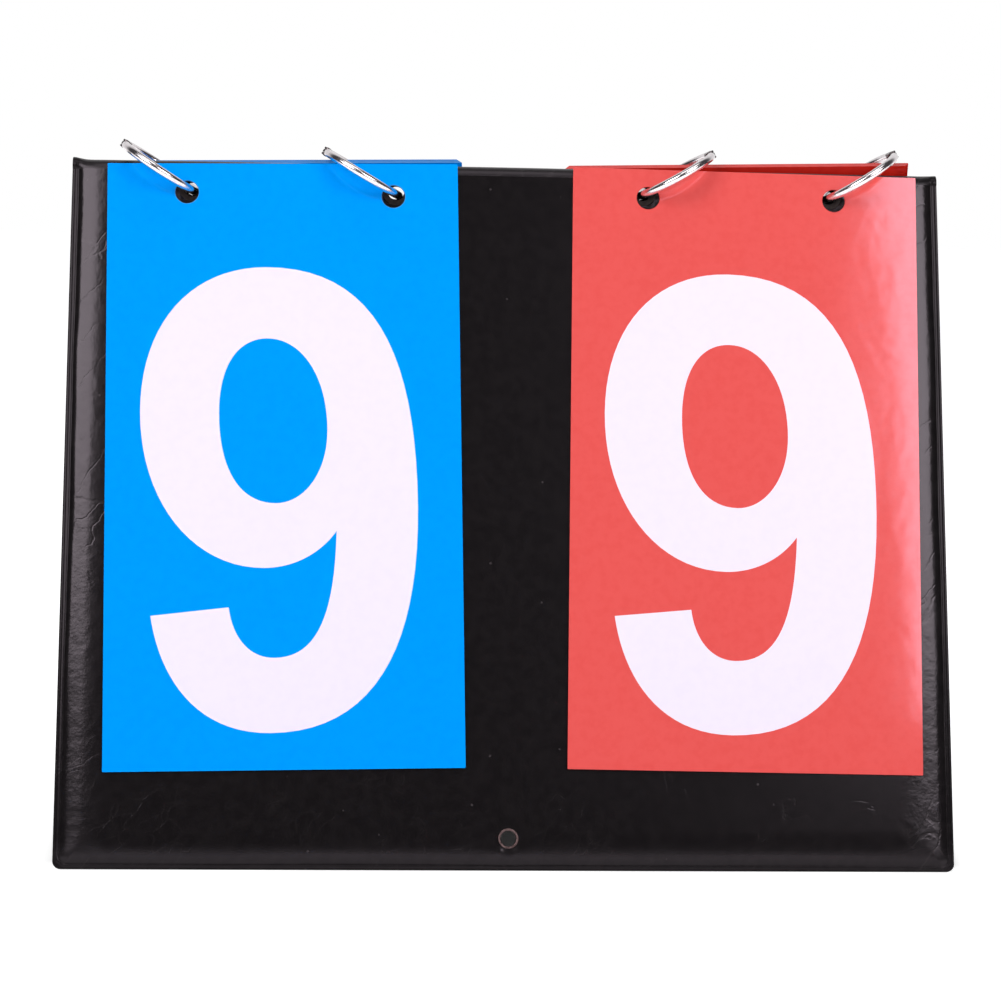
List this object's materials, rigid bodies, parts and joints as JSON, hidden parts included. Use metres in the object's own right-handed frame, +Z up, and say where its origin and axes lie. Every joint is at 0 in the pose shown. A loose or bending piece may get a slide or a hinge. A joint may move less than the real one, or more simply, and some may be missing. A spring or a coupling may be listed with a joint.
{
  "type": "tabletop flip scoreboard",
  "caption": "Folding tent of two padded panels with numbered cards that turn over on hinged rings at the ridge, to show a two-sided score on a table.",
  "frame": {"origin": "on the table, midway between the two panels' feet and midway along the width", "axes": "+X along the width, to the right as the front is read; +Y from the front panel to the back panel; +Z up"},
  "size_m": [0.225, 0.1144, 0.1791],
  "materials": {
    "vinyl": "grained PVC leathercloth, satin",
    "lining": "plain PVC lining, satin",
    "fold_vinyl": "grained PVC leathercloth, satin",
    "greyboard": "raw",
    "eyelet_nickel": "nickel plated",
    "ring_chrome": "polished nickel plate",
    "pin_steel": "plain",
    "blue_card": "gloss PVC sheet",
    "red_card": "gloss PVC sheet"
  },
  "bodies": {
    "front_panel": {"front_outer_cover": "vinyl", "front_inner_lining": "lining", "front_stiffener": "greyboard", "front_ring_eyelets": "eyelet_nickel", "front_tie_eyelet": "eyelet_nickel", "fold_strip": "fold_vinyl"},
    "back_panel": {"back_outer_cover": "vinyl", "back_inner_lining": "lining", "back_stiffener": "greyboard", "back_ring_eyelets": "eyelet_nickel", "back_tie_eyelet": "eyelet_nickel"},
    "blue_front_card": {"blue_card_9": "blue_card"},
    "blue_left_ring": {"blue_left_ring_back_half": "ring_chrome", "blue_left_ring_hinge_pin": "pin_steel"},
    "blue_left_ring_gate": {"blue_left_ring_front_half": "ring_chrome"},
    "blue_right_ring": {"blue_right_ring_back_half": "ring_chrome", "blue_right_ring_hinge_pin": "pin_steel"},
    "blue_right_ring_gate": {"blue_right_ring_front_half": "ring_chrome"},
    "blue_flipped_card_0": {"blue_card_0": "blue_card"},
    "blue_flipped_card_1": {"blue_card_1": "blue_card"},
    "blue_flipped_card_2": {"blue_card_2": "blue_card"},
    "blue_flipped_card_3": {"blue_card_3": "blue_card"},
    "blue_flipped_card_4": {"blue_card_4": "blue_card"},
    "blue_flipped_card_5": {"blue_card_5": "blue_card"},
    "blue_flipped_card_6": {"blue_card_6": "blue_card"},
    "blue_flipped_card_7": {"blue_card_7": "blue_card"},
    "blue_flipped_card_8": {"blue_card_8": "blue_card"},
    "red_front_card": {"red_card_9": "red_card"},
    "red_left_ring": {"red_left_ring_back_half": "ring_chrome", "red_left_ring_hinge_pin": "pin_steel"},
    "red_left_ring_gate": {"red_left_ring_front_half": "ring_chrome"},
    "red_right_ring": {"red_right_ring_back_half": "ring_chrome", "red_right_ring_hinge_pin": "pin_steel"},
    "red_right_ring_gate": {"red_right_ring_front_half": "ring_chrome"},
    "red_flipped_card_0": {"red_card_0": "red_card"},
    "red_flipped_card_1": {"red_card_1": "red_card"},
    "red_flipped_card_2": {"red_card_2": "red_card"},
    "red_flipped_card_3": {"red_card_3": "red_card"},
    "red_flipped_card_4": {"red_card_4": "red_card"},
    "red_flipped_card_5": {"red_card_5": "red_card"},
    "red_flipped_card_6": {"red_card_6": "red_card"},
    "red_flipped_card_7": {"red_card_7": "red_card"},
    "red_flipped_card_8": {"red_card_8": "red_card"}
  },
  "joints": [
    {"name": "fold", "type": "hinge", "parent": "front_panel", "child": "back_panel", "pos_m": [0, 0, 0.16924], "axis": [1, 0, 0], "range_deg": [-36, 0], "deforming": ["fold_strip"]},
    {"name": "blue_card_9_lift", "type": "hinge", "parent": "front_panel", "child": "blue_front_card", "pos_m": [0, 0, 0.17488], "axis": [-1, 0, 0], "range_deg": [0, 50]},
    {"name": "blue_left_ring_swing", "type": "hinge", "parent": "front_panel", "child": "blue_left_ring", "pos_m": [-0.082, 0, 0.16525], "axis": [0, 1, 0], "range_deg": [0, 57]},
    {"name": "blue_left_ring_open", "type": "hinge", "parent": "blue_left_ring", "child": "blue_left_ring_gate", "pos_m": [-0.09913, 0, 0.17638], "axis": [0.5446, 0, 0.8387], "range_deg": [-60, 0]},
    {"name": "blue_right_ring_swing", "type": "hinge", "parent": "front_panel", "child": "blue_right_ring", "pos_m": [-0.0296, 0, 0.16525], "axis": [0, 1, 0], "range_deg": [0, 60]},
    {"name": "blue_right_ring_open", "type": "hinge", "parent": "blue_right_ring", "child": "blue_right_ring_gate", "pos_m": [-0.04729, 0, 0.17547], "axis": [0.5, 0, 0.866], "range_deg": [-60, 0]},
    {"name": "blue_card_0_slide", "type": "slide", "parent": "back_panel", "child": "blue_flipped_card_0", "axis": [0, -0.309, 0.9511], "range_m": [0, 0.00121]},
    {"name": "blue_card_1_slide", "type": "slide", "parent": "back_panel", "child": "blue_flipped_card_1", "axis": [0, -0.309, 0.9511], "range_m": [0, 0.00136]},
    {"name": "blue_card_2_slide", "type": "slide", "parent": "back_panel", "child": "blue_flipped_card_2", "axis": [0, -0.309, 0.9511], "range_m": [0, 0.00151]},
    {"name": "blue_card_3_slide", "type": "slide", "parent": "back_panel", "child": "blue_flipped_card_3", "axis": [0, -0.309, 0.9511], "range_m": [0, 0.00166]},
    {"name": "blue_card_4_slide", "type": "slide", "parent": "back_panel", "child": "blue_flipped_card_4", "axis": [0, -0.309, 0.9511], "range_m": [0, 0.00181]},
    {"name": "blue_card_5_slide", "type": "slide", "parent": "back_panel", "child": "blue_flipped_card_5", "axis": [0, -0.309, 0.9511], "range_m": [0, 0.00196]},
    {"name": "blue_card_6_slide", "type": "slide", "parent": "back_panel", "child": "blue_flipped_card_6", "axis": [0, -0.309, 0.9511], "range_m": [0, 0.00211]},
    {"name": "blue_card_7_slide", "type": "slide", "parent": "back_panel", "child": "blue_flipped_card_7", "axis": [0, -0.309, 0.9511], "range_m": [0, 0.00226]},
    {"name": "blue_card_8_slide", "type": "slide", "parent": "back_panel", "child": "blue_flipped_card_8", "axis": [0, -0.309, 0.9511], "range_m": [0, 0.00241]},
    {"name": "red_card_9_lift", "type": "hinge", "parent": "front_panel", "child": "red_front_card", "pos_m": [0, 0, 0.17609], "axis": [-1, 0, 0], "range_deg": [0, 50]},
    {"name": "red_left_ring_swing", "type": "hinge", "parent": "front_panel", "child": "red_left_ring", "pos_m": [0.0351, 0, 0.1663], "axis": [0, 1, 0], "range_deg": [-60, 0]},
    {"name": "red_left_ring_open", "type": "hinge", "parent": "red_left_ring", "child": "red_left_ring_gate", "pos_m": [0.05293, 0, 0.1766], "axis": [0.5, 0, -0.866], "range_deg": [-60, 0]},
    {"name": "red_right_ring_swing", "type": "hinge", "parent": "front_panel", "child": "red_right_ring", "pos_m": [0.0838, 0, 0.1663], "axis": [0, 1, 0], "range_deg": [-57, 0]},
    {"name": "red_right_ring_open", "type": "hinge", "parent": "red_right_ring", "child": "red_right_ring_gate", "pos_m": [0.10107, 0, 0.17752], "axis": [0.5446, 0, -0.8387], "range_deg": [-60, 0]},
    {"name": "red_card_0_slide", "type": "slide", "parent": "back_panel", "child": "red_flipped_card_0", "axis": [0, -0.309, 0.9511], "range_m": [0, 0.00121]},
    {"name": "red_card_1_slide", "type": "slide", "parent": "back_panel", "child": "red_flipped_card_1", "axis": [0, -0.309, 0.9511], "range_m": [0, 0.00136]},
    {"name": "red_card_2_slide", "type": "slide", "parent": "back_panel", "child": "red_flipped_card_2", "axis": [0, -0.309, 0.9511], "range_m": [0, 0.00151]},
    {"name": "red_card_3_slide", "type": "slide", "parent": "back_panel", "child": "red_flipped_card_3", "axis": [0, -0.309, 0.9511], "range_m": [0, 0.00166]},
    {"name": "red_card_4_slide", "type": "slide", "parent": "back_panel", "child": "red_flipped_card_4", "axis": [0, -0.309, 0.9511], "range_m": [0, 0.00181]},
    {"name": "red_card_5_slide", "type": "slide", "parent": "back_panel", "child": "red_flipped_card_5", "axis": [0, -0.309, 0.9511], "range_m": [0, 0.00196]},
    {"name": "red_card_6_slide", "type": "slide", "parent": "back_panel", "child": "red_flipped_card_6", "axis": [0, -0.309, 0.9511], "range_m": [0, 0.00211]},
    {"name": "red_card_7_slide", "type": "slide", "parent": "back_panel", "child": "red_flipped_card_7", "axis": [0, -0.309, 0.9511], "range_m": [0, 0.00226]},
    {"name": "red_card_8_slide", "type": "slide", "parent": "back_panel", "child": "red_flipped_card_8", "axis": [0, -0.309, 0.9511], "range_m": [0, 0.00241]}
  ],
  "couplings": [
    {"joint": "blue_left_ring_swing", "follows": "blue_card_9_lift", "ratio": 1.14},
    {"joint": "blue_right_ring_swing", "follows": "blue_card_9_lift", "ratio": 1.2},
    {"joint": "blue_card_0_slide", "follows": "fold", "m_per_rad": -0.0019099},
    {"joint": "blue_card_1_slide", "follows": "fold", "m_per_rad": -0.0021486},
    {"joint": "blue_card_2_slide", "follows": "fold", "m_per_rad": -0.0023873},
    {"joint": "blue_card_3_slide", "follows": "fold", "m_per_rad": -0.0026261},
    {"joint": "blue_card_4_slide", "follows": "fold", "m_per_rad": -0.0028648},
    {"joint": "blue_card_5_slide", "follows": "fold", "m_per_rad": -0.0031035},
    {"joint": "blue_card_6_slide", "follows": "fold", "m_per_rad": -0.0033423},
    {"joint": "blue_card_7_slide", "follows": "fold", "m_per_rad": -0.003581},
    {"joint": "blue_card_8_slide", "follows": "fold", "m_per_rad": -0.0038197},
    {"joint": "red_left_ring_swing", "follows": "red_card_9_lift", "ratio": -1.2},
    {"joint": "red_right_ring_swing", "follows": "red_card_9_lift", "ratio": -1.14},
    {"joint": "red_card_0_slide", "follows": "fold", "m_per_rad": -0.0019099},
    {"joint": "red_card_1_slide", "follows": "fold", "m_per_rad": -0.0021486},
    {"joint": "red_card_2_slide", "follows": "fold", "m_per_rad": -0.0023873},
    {"joint": "red_card_3_slide", "follows": "fold", "m_per_rad": -0.0026261},
    {"joint": "red_card_4_slide", "follows": "fold", "m_per_rad": -0.0028648},
    {"joint": "red_card_5_slide", "follows": "fold", "m_per_rad": -0.0031035},
    {"joint": "red_card_6_slide", "follows": "fold", "m_per_rad": -0.0033423},
    {"joint": "red_card_7_slide", "follows": "fold", "m_per_rad": -0.003581},
    {"joint": "red_card_8_slide", "follows": "fold", "m_per_rad": -0.0038197}
  ]
}
